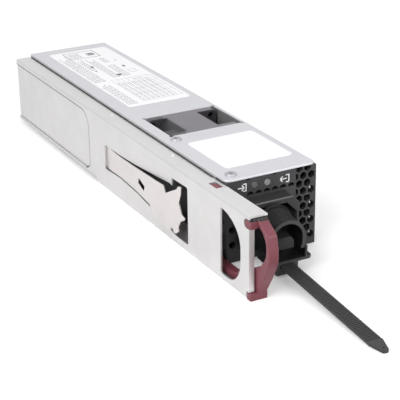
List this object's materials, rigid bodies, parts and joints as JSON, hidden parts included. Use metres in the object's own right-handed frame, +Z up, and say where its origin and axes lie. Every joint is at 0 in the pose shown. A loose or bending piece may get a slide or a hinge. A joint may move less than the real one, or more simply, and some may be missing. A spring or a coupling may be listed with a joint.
{
  "type": "plug-in power supply module",
  "caption": "Slim sheet-metal server power supply with mains inlet, honeycomb front, pull handle, spring latch, inner fan, sliding cord clip and rear edge connector.",
  "frame": {"origin": "on the underside, at the middle of the slot's width and of the metal box's length", "axes": "+Y towards the output edge (the way it is pushed in), -Y towards the mains inlet, +Z up through the lid"},
  "size_m": [0.0567, 0.3303, 0.0397],
  "materials": {
    "zinc_steel": "zinc-plated sheet",
    "lid_steel": "zinc-plated sheet",
    "bracket_steel": "zinc-plated sheet",
    "spring_steel": "bright spring steel",
    "screw_steel": "plated",
    "maroon_moulding": "satin",
    "black_moulding": "satin",
    "inlet_moulding": "satin",
    "nickel_blade": "nickel plated",
    "clear_lens": "frosted",
    "label_film": "white film",
    "strap_nylon": "satin",
    "clip_nylon": "satin",
    "fan_moulding": "satin",
    "coil_copper": "enamelled",
    "board_laminate": "solder mask",
    "gold_plate": "gold plated",
    "insulator": "film",
    "brass_post": "turned",
    "film_cap": "moulded case",
    "fuse_glass": "ceramic",
    "can_sleeve": "sleeved can",
    "sink_aluminium": "extruded",
    "ferrite": "sintered"
  },
  "bodies": {
    "chassis": {"base_tray": "zinc_steel", "top_cover": "lid_steel", "side_bracket": "bracket_steel", "bracket_rivets": "screw_steel", "cover_screws": "screw_steel", "pull_handle": "maroon_moulding", "front_bezel": "black_moulding", "inlet_housing": "inlet_moulding", "inlet_pin_line": "nickel_blade", "inlet_pin_neutral": "nickel_blade", "inlet_pin_earth": "nickel_blade", "light_pipe_left": "clear_lens", "light_pipe_right": "clear_lens", "rating_label": "label_film", "blank_label": "label_film", "cord_strap": "strap_nylon", "fan_frame": "fan_moulding", "fan_stator": "coil_copper", "filter_board": "board_laminate", "main_board": "board_laminate", "control_card": "board_laminate", "edge_contacts": "gold_plate", "insulator_film": "insulator", "board_standoffs": "brass_post", "board_screws": "screw_steel", "emi_choke": "coil_copper", "filter_capacitor": "film_cap", "line_fuse": "fuse_glass", "bulk_capacitor": "can_sleeve", "heat_sink_primary": "sink_aluminium", "heat_sink_output": "sink_aluminium", "transformer": "ferrite", "output_capacitors": "can_sleeve"},
    "latch": {"latch_leaf": "spring_steel"},
    "fan": {"fan_rotor": "fan_moulding"},
    "clip": {"cord_clip": "clip_nylon"}
  },
  "joints": [
    {"name": "latch_flex", "type": "hinge", "parent": "chassis", "child": "latch", "pos_m": [-0.0261, 0.002, 0.0175], "axis": [0, 0, 1], "range_deg": [0, 2.6], "stiffness_Nm_per_rad": 16},
    {"name": "fan_spin", "type": "hinge", "parent": "chassis", "child": "fan", "pos_m": [0.0063, -0.0355, 0.01985], "axis": [0, 1, 0], "continuous": true},
    {"name": "clip_slide", "type": "slide", "parent": "chassis", "child": "clip", "axis": [-0.0314, -0.9976, -0.061], "range_m": [-0.002, 0.06]}
  ]
}
